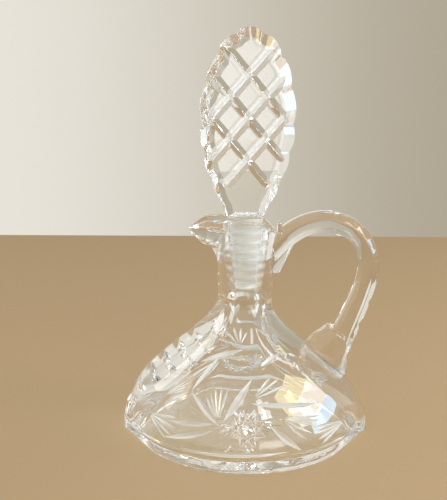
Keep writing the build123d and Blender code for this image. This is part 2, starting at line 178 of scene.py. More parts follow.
# Pinwheel on a broad panel: start, end (across, up) and width of each mitre cut
MITRE_CUTS = (
    ((-33, 43), (-15, 28), 4.2),
    ((-33, 43), (-14, 63), 3.6),
    ((-13, 30), (5, 52), 5.0),
    ((3, 40), (47, 35), 3.6),
    ((15, 29), (35, 12), 4.4),
    ((-18, 29), (-46, 25), 3.4),
    ((-17, 26), (-50, 15), 3.4),
    ((-28, 58), (0, 66), 4.2),
    ((24, 31), (47, 26), 3.2),
    ((-40, 12), (28, 13), 3.4),
    ((10, 57), (22, 63), 3.8),
)
# Fans: foot, first and last direction in degrees, count, first and last length, width
FANS = (
    ((-16, 30), 122, 70, 5, (14, 18), 1.7),
    ((5, 42), 42, 14, 3, (15, 23), 1.7),
    ((22, 32), -8, -42, 4, (25, 22), 1.7),
    ((-3, 67), 165, 60, 5, (14, 9), 1.5),
    ((64, 20), 170, 205, 4, (22, 18), 1.8),
    ((-61, 25), 8, -42, 4, (20, 17), 2.0),
)
FAN_CLEARANCE = 1.5
FAN_FULLEST = 0.62
# Cuts on the spine's panel: foot and tip, each as share of the way from ridge to crest, and height
FACET_CUTS = (
    ((0.25, 15), (0.35, 30)),
    ((0.3, 15), (0.55, 29)),
    ((0.35, 14), (0.75, 26)),
    ((0.4, 13), (0.85, 20)),
)
FACET_CUT_WIDTH = 1.8
HUB = (2.0, 27.0)
HUB_RADIUS = 12.0
HUB_FLATNESS = 0.92
HUB_POINTS = 16
HUB_STEP = 6
HUB_WIDTH = 2.4

# Star under the base
BASE_RAYS = 24
BASE_RAY = (1.0, 26.0)          # from the middle of the base
BASE_RAY_WIDTH = 4.6
BASE_RAY_ANGLE = 120.0
BASE_RAY_FULLEST = 0.45

# Glass
TINT = (0.985, 0.99, 0.985)
TINT_DEPTH = 0.97
SHADOW_TINT = (0.93, 0.94, 0.93, 1.0)
REFRACTION = 1.53
WAVE_SCALE = 45.0
WAVE_HEIGHT = 1.2
WAVE_ROUGHNESS = 0.02
PLAIN_WAVES = 0.04
VESSEL_WAVES = 0.1
HANDLE_WAVES = 0.3
CUT_ROUGHNESS = 0.09
# Share of diffuse white on the wheel cuts: a painted highlight standing in for window light that glints in
# the cuts
CUT_PAINTED_HIGHLIGHT = 0.38
LATTICE_ROUGHNESS = 0.1
# Share of diffuse white on the lattice grooves that lean one way: painted light, so that they read lighter
# than those that lean the other way
LATTICE_PAINTED_LIGHT = 0.3
GROUND_ROUGHNESS = 0.2
SEAT_SATIN = (0.08, 0.3)        # least and most, over each ring left by the grinding
PLUG_SATIN = (0.0, 0.05)
GRINDING_PITCH = 5.8
GRINDING_WAVER = 1.5
GRINDING_HEIGHT = 0.6
GRINDING_STRENGTH = 0.12
GROUND_FROM = 98.0              # height from which seat and plug are ground
PLUG_GROUND_TO = 142.0
SEAT_WITHIN = 11.0
BAND_SCALE = 0.314              # of a wave texture, for bands one unit apart

# Fineness of the meshes
FRONT_COLUMNS = 84
SIDE_COLUMNS = 24
SPINE_COLUMNS = 26
FRONT_ARC_STEPS = 20
RIDGE_ARC_STEPS = 14
BODY_ROWS = 46
NECK_ROWS = 12
MOUTH_ROWS = 22
EDGE_ROWS = 5
TOP_ROWS = 14
TOP_TRIES = 12
CHAMBER_FRONT_COLUMNS = 60
CHAMBER_SIDE_COLUMNS = 20
CHAMBER_FLOOR_ROWS = 5
CHAMBER_CORNER_ROWS = 12
CHAMBER_ROWS = 48
BORE_COLUMNS = 144
BORE_ROWS = 13
BORE_MOUTH_ROWS = 6
CHANNEL_ROWS = 40
CHANNEL_ARC_STEPS = 12
PANEL_CUT_STEPS = 12
MITRE_STEPS = 16
SHORT_CUT_STEPS = 8
SCALLOP_STEPS = 10
HEAD_TOP_STEPS = 14
HEAD_FOOT_STEPS = 4
PLUG_COLUMNS = 96
PLUG_ROWS = 20
ROUNDING_STEPS = 4
SPLINE_STEPS = 40
FOOT_COLUMNS = 64
CORNER_STEPS = 3
SMALLEST_EDGE = 0.004
CREASE = 16.0

# Surroundings
FLOOR_COLOUR = (0.49, 0.34, 0.195)
FLOOR_DEPTH = 0.96
FLOOR_WAVE_SCALE = 3.0
FLOOR_ROUGHNESS = 0.85
FLOOR_GLOSS = 0.2
# Backdrop colours, lighter on the left and darker on the right: painted light falling from a window on the
# left
WALL_PAINTED_LIGHT = (0.80, 0.77, 0.69)
WALL_PAINTED_SHADE = (0.43, 0.38, 0.29)
FLOOR_EDGE = 605.0
FLOOR_SPAN = 1500.0
FLOOR_DROP = 0.2
WALL_DISTANCE = 3000.0
WALL_SPAN = 4400.0
WALL_HEIGHTS = (-1500.0, 5600.0)
# Span across which the backdrop's painted light fades from left to right, in millimetres
PAINTED_LIGHT_SPAN = (-970.0, 885.0)
ROOM_COLOUR = (0.97, 0.98, 0.97, 1.0)
ROOM_LIGHT = 0.66
# Lamps: name, place, target and size in metres, power, colour
LAMPS = (
    ("left window", (-1.1, 0.2, 0.8), (0, 0, 0.1), (0.4, 0.7), 3.0, (1.0, 0.98, 0.95)),
    ("low right window", (1.1, -0.14, 0.28), (0, 0, 0.05), (0.3, 0.36), 3.6, (0.34, 0.66, 1.0)),
    ("right window", (0.94, -0.3, 0.62), (0, 0, 0.05), (0.3, 0.46), 3.6, (1.0, 1.0, 1.0)),
    ("upper right window", (0.74, -0.36, 0.9), (0, 0, 0.05), (0.2, 0.4), 1.9, (1.0, 0.9, 0.5)),
    ("front screen", (0.5, -1.0, 0.13), (0, 0, 0.13), (0.5, 0.25), 1.1, (1.0, 1.0, 1.0)),
    ("high window", (0.37, -0.73, 1.1), (0, 0, 0.07), (0.14, 0.4), 1.6, (0.75, 0.87, 1.0)),
    ("back window", (0.55, 1.0, 0.95), (0, 0, 0.1), (0.16, 0.26), 0.9, (1.0, 1.0, 1.0)),
)

# Camera
CAMERA_PLACE = (0.0, -0.625, 0.268)
CAMERA_DIP = 13.1
CAMERA_TURN = 1.28
CAMERA_LENS = 72.0
CAMERA_SENSOR = 36.0


def even_steps(first, last, count):
    """Values in equal steps, both ends included."""
    return [first + (last - first) * step / count for step in range(count + 1)]


def line_of(start, end, count):
    """Places in equal steps, both ends included."""
    return list(zip(*(even_steps(a, b, count) for a, b in zip(start, end))))


def share_point(start, end, shares):
    """Point between two points at its own share of the way out and of the way up."""
    return (start[0] + (end[0] - start[0]) * shares[0], start[1] + (end[1] - start[1]) * shares[1])


def way_up(height):
    """Share of the way from the belly to the top of the shoulder."""
    return min(max((height - BELLY_HEIGHT) / (SHOULDER_HEIGHT - BELLY_HEIGHT), 0.0), 1.0)


def reach(height, belly_reach, neck=NECK_RADIUS):
    """Distance from the axis at a height, for a panel that reaches so far at the belly."""
    share = 0.5 * (1.0 + cos(pi * way_up(height) ** SHOULDER_FULLNESS))
    return neck + (belly_reach - neck) * share


def ridge_point(height):
    """Where a broad panel meets a side panel: distance to the side and to the front."""
    way = way_up(height)
    neck_way = NECK_RADIUS * sin(radians(45))
    corner_drop = CORNER_HALF_WIDTH / 2
    to_front = CORNER_HALF_WIDTH + (neck_way - CORNER_HALF_WIDTH) * way
    to_front += SIDE_SPREAD * sin(pi * way**SIDE_SPREAD_SHAPE)
    drop = SIDE_DROP * sin(pi * way**SIDE_DROP_SHAPE)
    drop += corner_drop + (NECK_RADIUS - neck_way - corner_drop) * way
    return reach(height, CORNER_REACH) - drop, to_front


def spine_reach(height):
    """Distance from the axis to the crest of the spine, without its notches."""
    way = (height - SPINE_FOOT_HEIGHT) / (SHOULDER_HEIGHT - SPINE_FOOT_HEIGHT)
    return reach(height, CORNER_REACH) + SPINE_PRIDE * sin(pi * min(max(way, 0.0), 1.0))


def arc_points(centre, radius, first, turn, count):
    """Points of an arc that starts at an angle and goes on over a turn."""
    angles = [first + turn * k / count for k in range(count + 1)]
    return [(centre[0] + radius * cos(angle), centre[1] + radius * sin(angle)) for angle in angles]


def arc_from(start, tangent, end, count):
    """Points of the arc that leaves start along the tangent and reaches end."""
    chord_x, chord_y = end[0] - start[0], end[1] - start[1]
    size = hypot(*tangent)
    normal = (-tangent[1] / size, tangent[0] / size)
    across = 2.0 * (chord_x * normal[0] + chord_y * normal[1])
    if abs(across) < TINY:
        return line_of(start, end, count)
    radius = (chord_x**2 + chord_y**2) / across
    centre = (start[0] + normal[0] * radius, start[1] + normal[1] * radius)
    first = atan2(start[1] - centre[1], start[0] - centre[0])
    last = atan2(end[1] - centre[1], end[0] - centre[0])
    turn = (last - first) % (2 * pi if radius > 0 else -2 * pi)
    return arc_points(centre, abs(radius), first, turn, count)


def through_three(start, middle, end, count):
    """Points of the arc through three points."""
    ax, ay = start
    bx, by = middle
    cx, cy = end
    d = 2 * (ax * (by - cy) + bx * (cy - ay) + cx * (ay - by))
    ux = ((ax**2 + ay**2) * (by - cy) + (bx**2 + by**2) * (cy - ay) + (cx**2 + cy**2) * (ay - by)) / d
    uy = ((ax**2 + ay**2) * (cx - bx) + (bx**2 + by**2) * (ax - cx) + (cx**2 + cy**2) * (bx - ax)) / d
    radius = dist(start, (ux, uy))
    first = atan2(ay - uy, ax - ux)
    last = atan2(cy - uy, cx - ux)
    turn = atan2(sin(last - first), cos(last - first))
    return arc_points((ux, uy), radius, first, turn, count)


def spread_evenly(points, count):
    """The same line with points at equal distances."""
    lengths = [0.0]
    for first, second in zip(points, points[1:]):
        lengths.append(lengths[-1] + dist(first, second))
    spread = []
    index = 0
    for wanted in even_steps(0, lengths[-1], count):
        while index < len(points) - 2 and lengths[index + 1] < wanted:
            index += 1
        share = (wanted - lengths[index]) / (lengths[index + 1] - lengths[index])
        share = min(max(share, 0.0), 1.0)
        spread.append(share_point(points[index], points[index + 1], (share, share)))
    return spread


def front_half(height):
    """Outside of the front panel from its middle to the right ridge."""
    radius = reach(height, PANEL_REACH)
    turn_share = (1.0 - way_up(height)) ** PANEL_TURN_SHAPE
    turn = radians(PANEL_TURN_NECK + (PANEL_TURN_BELLY - PANEL_TURN_NECK) * turn_share)
    points = [(radius * sin(bend), -radius * cos(bend)) for bend in even_steps(0, turn, FRONT_ARC_STEPS)]
    ridge_x, ridge_y = ridge_point(height)
    return points + arc_from(points[-1], (cos(turn), sin(turn)), (ridge_x, -ridge_y), RIDGE_ARC_STEPS)[1:]


def shortened(points, cut):
    """The same line with its last stretch taken off."""
    left = cut
    kept = list(points)
    while True:
        before, last = kept[-2], kept[-1]
        step = dist(before, last)
        if step > left:
            share = left / step
            kept[-1] = share_point(last, before, (share, share))
            return kept
        left -= step
        kept.pop()


def body_ring(height):
    """Points around the body at a height, from the spine's crest by way of the front."""
    half = shortened(front_half(height), RIDGE_FLAT)
    ridge_x, ridge_y = ridge_point(height)
    crest = (-spine_reach(height), 0.0)
    left_ridge = (-ridge_x, -ridge_y)
    chord = (left_ridge[0] - crest[0], left_ridge[1] - crest[1])
    bend = radians(FACET_TURN / 2)
    leaving = (chord[0] * cos(bend) + chord[1] * sin(bend), chord[1] * cos(bend) - chord[0] * sin(bend))
    facet = arc_from(crest, leaving, left_ridge, SPINE_COLUMNS)
    facet = [crest] + spread_evenly(shortened(facet, RIDGE_FLAT), SPINE_COLUMNS)[1:]
    whole_front = [(-x, y) for x, y in reversed(half)] + half[1:]
    front = spread_evenly(whole_front, FRONT_COLUMNS)
    middle = reach(height, CORNER_REACH)
    bulge = middle - ridge_x
    half_angle = 2.0 * atan2(bulge, ridge_y)
    side = arc_from((ridge_x, -ridge_y), (sin(half_angle), cos(half_angle)), (ridge_x, ridge_y), SIDE_COLUMNS)
    side = shortened(side, RIDGE_FLAT)
    side = spread_evenly(shortened(list(reversed(side)), RIDGE_FLAT), SIDE_COLUMNS)[::-1]
    back = [(x, -y) for x, y in reversed(front)]
    return facet + front + side + back + [(x, -y) for x, y in reversed(facet)][:-1]


def smooth_between(value, places, sizes):
    """Monotone smooth curve through a few sizes."""
    slopes = [(b - a) / (q - p) for a, b, p, q in zip(sizes, sizes[1:], places, places[1:])]
    middle = [2 * a * b / (a + b) if a * b > 0 else 0.0 for a, b in zip(slopes, slopes[1:])]
    tangents = [slopes[0]] + middle + [slopes[-1]]
    index = 0
    while index < len(places) - 2 and value > places[index + 1]:
        index += 1
    run = places[index + 1] - places[index]
    t = min(max((value - places[index]) / run, 0.0), 1.0)
    return (
        (2 * t**3 - 3 * t**2 + 1) * sizes[index]
        + (t**3 - 2 * t**2 + t) * run * tangents[index]
        + (3 * t**2 - 2 * t**3) * sizes[index + 1]
        + (t**3 - t**2) * run * tangents[index + 1]
    )


def mouth_reach(angle, height):
    """Outside of the neck and the mouth in a direction from the axis."""
    if height <= COLLAR_HEIGHT:
        return NECK_RADIUS + COLLAR_SWELL * (height - SHOULDER_HEIGHT) / (COLLAR_HEIGHT - SHOULDER_HEIGHT)
    collar = NECK_RADIUS + COLLAR_SWELL
    radius = collar + (RIM_RADIUS - collar) * (height - COLLAR_HEIGHT) / (RIM_HEIGHT - COLLAR_HEIGHT)
    tip_way = smooth_between(height, LIP_HEIGHTS, LIP_REACHES) - LIP_TIP_RADIUS
    from_lip = abs(atan2(sin(angle - pi), cos(angle - pi)))
    turn = acos((radius - LIP_TIP_RADIUS) / tip_way)
    if from_lip >= turn:
        return radius
    on_tip = atan2(LIP_TIP_RADIUS * sin(turn), tip_way + LIP_TIP_RADIUS * cos(turn))
    if from_lip > on_tip:
        return radius / cos(turn - from_lip)
    return tip_way * cos(from_lip) + sqrt(LIP_TIP_RADIUS**2 - (tip_way * sin(from_lip)) ** 2)


def rim_sweep(x):
    """Height of the rim: level at the mouth, lower at the tip of the lip and at the handle."""
    if x < LIP_RUN - LIP_REACH:
        return RIM_HEIGHT - LIP_DROP * (LIP_RUN - LIP_REACH - x) / LIP_RUN
    if x < 0:
        return RIM_HEIGHT
    return RIM_HEIGHT - RIM_HEEL_DROP * (x / RIM_RADIUS) ** 2


def edit(mesh, change):
    """Change a mesh by way of bmesh."""
    work = bmesh.new()
    work.from_mesh(mesh)
    change(work)
    work.to_mesh(mesh)
    work.free()


def place_object(name, data, place=(0, 0, 0), rotation=(0, 0, 0)):
    """Object in the scene for a mesh, a lamp or a camera."""
    made = bpy.data.objects.new(name, data)
    made.location = place
    made.rotation_euler = rotation
    bpy.context.scene.collection.objects.link(made)
    return made


def add_piece(name, points, faces):
    """Object with its mesh, given in millimetres and made in metres, with its faces turned outwards."""
    mesh = bpy.data.meshes.new(name)
    mesh.from_pydata([Vector(point) * MM for point in points], [], faces)
    edit(mesh, lambda work: bmesh.ops.recalc_face_normals(work, faces=work.faces))
    return place_object(name, mesh)


def ring_solid(name, rings):
    """Closed skin over rings of equal length, with a fan of faces at either end."""
    count = len(rings[0])
    points = [point for ring in rings for point in ring]
    faces = []
    for row in range(len(rings) - 1):
        here, above = row * count, (row + 1) * count
        for column in range(count):
            after = (column + 1) % count
            faces.append((here + column, here + after, above + after, above + column))
    for row, ring in ((0, rings[0]), (len(rings) - 1, rings[-1])):
        middle = sum((Vector(point) for point in ring), Vector()) / count
        points.append(tuple(middle))
        centre = len(points) - 1
        for column in range(count):
            faces.append((row * count + column, row * count + (column + 1) % count, centre))
    return add_piece(name, points, faces)


def round_ring(radius, height, turns):
    """Circle of points about the axis."""
    return [(radius * cos(turn), radius * sin(turn), height) for turn in turns]


def vessel_rings():
    """Rings of the solid blank from the resting face to the rim."""
    rings = []
    heights = [BASE_ROUNDING * (1 - cos(bend)) for bend in even_steps(0, pi / 2, EDGE_ROWS)[:-1]]
    for height in heights + even_steps(BASE_ROUNDING, SHOULDER_HEIGHT, BODY_ROWS):
        above = min(height, BASE_ROUNDING)
        inset = BASE_ROUNDING - sqrt(BASE_ROUNDING**2 - (BASE_ROUNDING - above) ** 2)
        share = 1.0 - inset / reach(height, CORNER_REACH)
        rings.append([(x * share, y * share, height) for x, y in body_ring(height)])
    angles = [atan2(y, x) for x, y in body_ring(SHOULDER_HEIGHT)]
    for height in even_steps(SHOULDER_HEIGHT, COLLAR_HEIGHT, NECK_ROWS)[1:]:
        rings.append(round_ring(mouth_reach(0.0, height), height, angles))
    columns = []
    for angle in angles:
        top = RIM_HEIGHT
        for _ in range(TOP_TRIES):
            top = rim_sweep(mouth_reach(angle, top) * cos(angle))
        columns.append(even_steps(COLLAR_HEIGHT, top - RIM_ROUNDING, MOUTH_ROWS)[1:])
    for heights in zip(*columns):
        ring = []
        for angle, height in zip(angles, heights):
            radius = mouth_reach(angle, height)
            ring.append((radius * cos(angle), radius * sin(angle), height))
        rings.append(ring)
    edge = rings[-1]
    for bend in even_steps(0, pi / 2, EDGE_ROWS)[1:]:
        ring = []
        for x, y, height in edge:
            share = 1.0 - RIM_ROUNDING * (1 - cos(bend)) / hypot(x, y)
            ring.append((x * share, y * share, height + RIM_ROUNDING * sin(bend)))
        rings.append(ring)
    edge = rings[-1]
    for share in even_steps(1, 0, TOP_ROWS)[1:-1]:
        rings.append([(x * share, y * share, rim_sweep(x * share)) for x, y, _ in edge])
    return rings


def plug_radius(below_head):
    """Radius of the plug at a depth below the foot of the head."""
    return PLUG_TOP_RADIUS - (PLUG_TOP_RADIUS - PLUG_END_RADIUS) * below_head / PLUG_LENGTH


def chamber_ring(height, inset=0.0):
    """Points around the chamber, which follows the body without its ridges."""
    front = reach(height, PANEL_REACH - WALL, THROAT_RADIUS) - inset
    side = reach(height, CORNER_REACH - WALL, THROAT_RADIUS) - inset
    share = side / reach(height, CORNER_REACH)
    ridge_x, ridge_y = [part * share for part in ridge_point(height)]
    panel = through_three((-ridge_x, -ridge_y), (0.0, -front), (ridge_x, -ridge_y), CHAMBER_FRONT_COLUMNS)
    corner = through_three((ridge_x, -ridge_y), (side, 0.0), (ridge_x, ridge_y), CHAMBER_SIDE_COLUMNS)
    half = panel[:-1] + corner[:-1]
    return half + [(-x, -y) for x, y in half]


def chamber():
    """Cutter for the hollow of the body, from its floor to the throat."""
    corner_top = FLOOR_THICKNESS + CHAMBER_CORNER
    floor = chamber_ring(FLOOR_THICKNESS, CHAMBER_CORNER)
    rings = []
    for share in even_steps(0, 1, CHAMBER_FLOOR_ROWS)[1:-1]:
        rings.append([(x * share, y * share, FLOOR_THICKNESS) for x, y in floor])
    for bend in even_steps(0, pi / 2, CHAMBER_CORNER_ROWS)[:-1]:
        height = corner_top - CHAMBER_CORNER * cos(bend)
        ring = chamber_ring(height, CHAMBER_CORNER * (1 - sin(bend)))
        rings.append([(x, y, height) for x, y in ring])
    for height in even_steps(corner_top, SHOULDER_HEIGHT, CHAMBER_ROWS):
        rings.append([(x, y, height) for x, y in chamber_ring(height)])
    angles = [atan2(y, x) for x, y in chamber_ring(SHOULDER_HEIGHT)]
    rings.append(round_ring(THROAT_RADIUS, CHAMBER_END, angles))
    return ring_solid("chamber", rings)


def bore():
    """Cutter for the throat and the ground seat with its rounded mouth."""
    seat_low = HEAD_FOOT_HEIGHT - PLUG_LENGTH - THROAT_RELIEF
    profile = [(THROAT_RADIUS, THROAT_START), (THROAT_RADIUS, seat_low - THROAT_TAPER)]
    for height in even_steps(seat_low, SEAT_TOP, BORE_ROWS):
        profile.append((plug_radius(HEAD_FOOT_HEIGHT - height) + PLUG_CLEARANCE, height))
    turns = even_steps(0, 2 * pi, BORE_COLUMNS)[:-1]
    rings = [round_ring(radius, height, turns) for radius, height in profile]
    top_radius = plug_radius(HEAD_FOOT_HEIGHT - RIM_HEIGHT) + PLUG_CLEARANCE
    for bend in even_steps(0, pi / 2, BORE_MOUTH_ROWS):
        radius = top_radius + SEAT_ROUNDING * (1 - cos(bend))
        below = SEAT_ROUNDING * (1 - sin(bend))
        rings.append([(x, y, rim_sweep(x) - below) for x, y, _ in round_ring(radius, 0.0, turns)])
    rings.append(round_ring(top_radius + BORE_FLARE * SEAT_ROUNDING, RIM_HEIGHT + CUTTER_OVERRUN, turns))
    return ring_solid("bore", rings)


def lip_trough():
    """Cutter for the trough from the mouth to the tip of the lip, with rounded edges along the rim."""
    rings = []
    for x in even_steps(CHANNEL_START, -LIP_REACH - CUTTER_OVERRUN, CHANNEL_ROWS):
        low = RIM_HEIGHT - LIP_DROP - CHANNEL_RISE * (1.0 + x / LIP_REACH)
        centre = low + CHANNEL_RADIUS
        shoulder = max(rim_sweep(x) - SEAT_ROUNDING, low + LEAST_CHANNEL_WALL)
        sink = max((min(shoulder, centre) - centre) / CHANNEL_RADIUS, -1.0)
        half = []
        for bend in even_steps(0, asin(sink) + pi / 2, CHANNEL_ARC_STEPS):
            half.append((CHANNEL_RADIUS * sin(bend), centre - CHANNEL_RADIUS * cos(bend)))
        wide = half[-1][0]
        for bend in even_steps(0, pi / 2, ROUNDING_STEPS):
            half.append((wide + SEAT_ROUNDING * (1 - cos(bend)), shoulder + SEAT_ROUNDING * sin(bend)))
        half.append((wide + CHANNEL_FLARE * SEAT_ROUNDING, RIM_HEIGHT + CHANNEL_TOP))
        rings.append([(x, y, z) for y, z in half] + [(x, -y, z) for y, z in reversed(half[1:])])
    return ring_solid("lip_trough", rings)


def groove_ring(point, along, outward, depth, rise, slope):
    """Section of a V-shaped cutter, from its edge below the glass to a height above it."""
    across = along.cross(outward).normalized() * ((rise + depth) * slope)
    top = point + outward * rise
    return [tuple(top + across), tuple(point - outward * depth), tuple(top - across)]


def wedge(origin, along, outward, depth, angle, length):
    """Straight V-shaped cutter with its edge a depth below a surface."""
    slope = tan(radians(angle / 2))
    ends = (origin - along * (length / 2), origin + along * (length / 2))
    return ring_solid("wedge", [groove_ring(end, along, outward, depth, NOTCH_RISE, slope) for end in ends])


def spine_notches():
    """Notch cutters from the foot of the spine up to the collar."""
    cutters = []
    height = FIRST_NOTCH_HEIGHT
    while height < LAST_NOTCH_HEIGHT:
        pitch, depth = BODY_NOTCH if height < SHOULDER_HEIGHT - NECK_NOTCH_DROP else NECK_NOTCH
        lean = spine_reach(height + SLOPE_STEP) - spine_reach(height - SLOPE_STEP)
        outward = Vector((-1.0, 0.0, -lean)).normalized()
        origin = Vector((-spine_reach(height), 0.0, height))
        cutters.append(wedge(origin, Vector((0, 1, 0)), outward, depth, NOTCH_ANGLE, 2 * NECK_RADIUS))
        walked = 0.0
        while walked < pitch:
            walked += hypot(SLOPE_STEP, spine_reach(height + SLOPE_STEP) - spine_reach(height))
            height += SLOPE_STEP
    return cutters


def front_point(x, height):
    """Point of the front panel's outside."""
    half = front_half(height)
    place = min(abs(x), half[-1][0])
    for first, second in zip(half, half[1:]):
        if second[0] >= place:
            break
    share = (place - first[0]) / max(second[0] - first[0], TINY)
    return Vector((place if x > 0 else -place, first[1] + (second[1] - first[1]) * share, height))


def front_normal(x, height):
    """Direction straight out of the front panel."""
    across = front_point(x + SLOPE_STEP, height) - front_point(x - SLOPE_STEP, height)
    upward = front_point(x, height + SLOPE_STEP) - front_point(x, height - SLOPE_STEP)
    return across.cross(upward).normalized()


def wheel_cut(points, normals, width, angle, fullest):
    """V-shaped groove that follows a line on the glass, pointed at both ends."""
    slope = tan(radians(angle / 2))
    deepest = width / 2 / slope
    rings = []
    last = len(points) - 1
    for index, (point, outward) in enumerate(zip(points, normals)):
        share = index / last
        place = 0.5 * share / fullest if share < fullest else 0.5 + 0.5 * (share - fullest) / (1 - fullest)
        swell = sin(pi * place)
        depth = deepest * swell - (TIP_SINK if index in (0, last) else 0.0)
        before = points[max(index - 1, 0)]
        after = points[min(index + 1, last)]
        along = (after - before).normalized()
        rings.append(groove_ring(point, along, outward, depth, WHEEL_RISE, slope))
    return ring_solid("cut", rings)


def painted_light(cutter):
    """Cutter that leaves whitened faces as painted light: the second material of what it cuts."""
    for face in cutter.data.polygons:
        face.material_index = 1
    cutter.data.materials.append(None)
    cutter.data.materials.append(None)
    return cutter


def leaf_cut(points, normals, signs, width, fullest=0.5, polished=False):
    """Wheel cut with polished faces, or whitened faces that paint a highlight, carried to another side by
    changing signs.
    """
    points, normals = ([part * Vector(signs) for part in line] for line in (points, normals))
    cut = wheel_cut(points, normals, width, WHEEL_ANGLE, fullest)
    return cut if polished else painted_light(cut)


def panel_cut(start, end, width, side, fullest=0.5, steps=PANEL_CUT_STEPS, polished=False):
    """Leaf-shaped cut between two places (across, up) on the front or the back panel."""
    places = line_of(start, end, steps)
    points = [front_point(*place) for place in places]
    normals = [front_normal(*place) for place in places]
    return leaf_cut(points, normals, (-side, -side, 1), width, fullest, polished)


def fan(foot, first, last, count, lengths, width, side):
    """Fan of narrow leaves that spread from one foot; angles in degrees, from across to up."""
    cuts = []
    for angle, length in line_of((first, lengths[0]), (last, lengths[1]), count - 1):
        across, up = cos(radians(angle)), sin(radians(angle))
        start, end = ((foot[0] + far * across, foot[1] + far * up) for far in (FAN_CLEARANCE, length))
        cuts.append(panel_cut(start, end, width, side, FAN_FULLEST))
    return cuts


def hub_star(side):
    """Hobstar at the middle of the pinwheel: chords from point to point."""
    points = []
    for turn in even_steps(0, 2 * pi, HUB_POINTS)[:-1]:
        points.append((HUB[0] + HUB_RADIUS * cos(turn), HUB[1] + HUB_FLATNESS * HUB_RADIUS * sin(turn)))
    cuts = []
    for index, point in enumerate(points):
        far = points[(index + HUB_STEP) % HUB_POINTS]
        # Every other chord gets the whitened faces of the painted highlight
        cuts.append(panel_cut(point, far, HUB_WIDTH, side, steps=SHORT_CUT_STEPS, polished=index % 2 == 0))
    return cuts


def facet_place(share, height):
    """Point of the spine's panel at the front, at a share of the way from ridge to crest."""
    ridge_x, ridge_y = ridge_point(height)
    ridge = Vector((-ridge_x, -ridge_y, height))
    crest = Vector((-spine_reach(height), 0.0, height))
    chord = crest - ridge
    bulge = chord.length / 2 * tan(radians(FACET_TURN / 4)) * 4 * share * (1 - share)
    return ridge + chord * share + Vector((chord.y, -chord.x, 0)).normalized() * -bulge


def facet_normal(share, height):
    """Direction straight out of the spine's panel."""
    point = facet_place(share, height)
    across = facet_place(share + SHARE_STEP, height) - point
    return (facet_place(share, height + SLOPE_STEP) - point).cross(across).normalized()


def facet_cut(start, end, side):
    """Leaf-shaped cut on the front or the back half of the spine's panel."""
    places = line_of(start, end, SHORT_CUT_STEPS)
    points = [facet_place(*place) for place in places]
    normals = [facet_normal(*place) for place in places]
    return leaf_cut(points, normals, (1, -side, 1), FACET_CUT_WIDTH)


def pinwheel(side):
    """Whirling motif of a broad panel: bold mitres, fans between them and a hobstar at the hub."""
    cuts = hub_star(side)
    for start, end, width in MITRE_CUTS:
        cuts.append(panel_cut(start, end, width, side, steps=MITRE_STEPS))
    for leaves in FANS:
        cuts += fan(*leaves, side)
    for foot, tip in FACET_CUTS:
        cuts.append(facet_cut(foot, tip, side))
    return cuts


def base_star():
    """Star cut into the resting face."""
    cuts = []
    for turn in even_steps(0, 2 * pi, BASE_RAYS)[:-1]:
        direction = Vector((cos(turn), sin(turn), 0))
        points = [direction * far for far in even_steps(*BASE_RAY, SHORT_CUT_STEPS)]
        normals = [Vector((0, 0, -1))] * len(points)
        cuts.append(wheel_cut(points, normals, BASE_RAY_WIDTH, BASE_RAY_ANGLE, BASE_RAY_FULLEST))
    return cuts


def carve(target, cutters, operation="DIFFERENCE"):
    """Cut or join many closed pieces in one step, then drop them."""
    group = bpy.data.collections.new("cutters")
    bpy.context.scene.collection.children.link(group)
    for cutter in cutters:
        bpy.context.scene.collection.objects.unlink(cutter)
        group.objects.link(cutter)
    modifier = target.modifiers.new("carve", "BOOLEAN")
    modifier.solver = "MANIFOLD"
    modifier.operation = operation
    modifier.operand_type = "COLLECTION"
    modifier.collection = group
    bpy.context.view_layer.update()
    depsgraph = bpy.context.evaluated_depsgraph_get()
    mesh = bpy.data.meshes.new_from_object(target.evaluated_get(depsgraph))
    target.modifiers.clear()
    old = target.data
    target.data = mesh
    bpy.data.meshes.remove(old)
    for cutter in cutters:
        bpy.data.meshes.remove(cutter.data)
    bpy.data.collections.remove(group)


def clean_up(work):
    """Drop the smallest edges and split the large faces, and make all faces smooth."""
    bmesh.ops.remove_doubles(work, verts=work.verts, dist=SMALLEST_EDGE * MM)
    bmesh.ops.triangulate(work, faces=[face for face in work.faces if len(face.verts) > 4])
    for face in work.faces:
        face.smooth = True


def finish_surface(target):
    """Smooth shading with creases."""
    edit(target.data, clean_up)
    target.data.set_sharp_from_angle(angle=radians(CREASE))


def node(tree, kind, output, inputs, **settings):
    """One output of a new shader node, whose inputs are values or outputs of other nodes."""
    made = tree.nodes.new("ShaderNode" + kind)
    for name, value in settings.items():
        setattr(made, name, value)
    for name, value in inputs.items():
        if isinstance(value, bpy.types.NodeSocket):
            tree.links.new(value, made.inputs[name])
        else:
            made.inputs[name].default_value = value
    return made.outputs[output]


def new_material(name):
    """Material with an empty node tree."""
    material = bpy.data.materials.new(name)
    material.use_nodes = True
    material.node_tree.nodes.clear()
    return material


def show(material, surface):
    """Give a material its surface."""
    tree = material.node_tree
    tree.links.new(surface, tree.nodes.new("ShaderNodeOutputMaterial").inputs["Surface"])
    return material


def two_tone(tree, share, first, second):
    """Colour between two, by a share."""
    colour = node(tree, "ValToRGB", "Color", {"Fac": share})
    for element, shade in zip(colour.node.color_ramp.elements, (first, second)):
        element.color = (*shade, 1.0)
    return colour


def remap(tree, share, first, second):
    """Number between two, by a share."""
    return node(tree, "MapRange", "Result", {"Value": share, "To Min": first, "To Max": second})


def blend(tree, share, first, second):
    """Mix of two numbers or outputs, by a share."""
    return node(tree, "Mix", "Result", {"Factor": share, "A": first, "B": second}, data_type="FLOAT")


def calculate(tree, operation, first, second):
    """Result of a sum or test on two numbers or outputs."""
    return node(tree, "Math", "Value", {0: first, 1: second}, operation=operation)


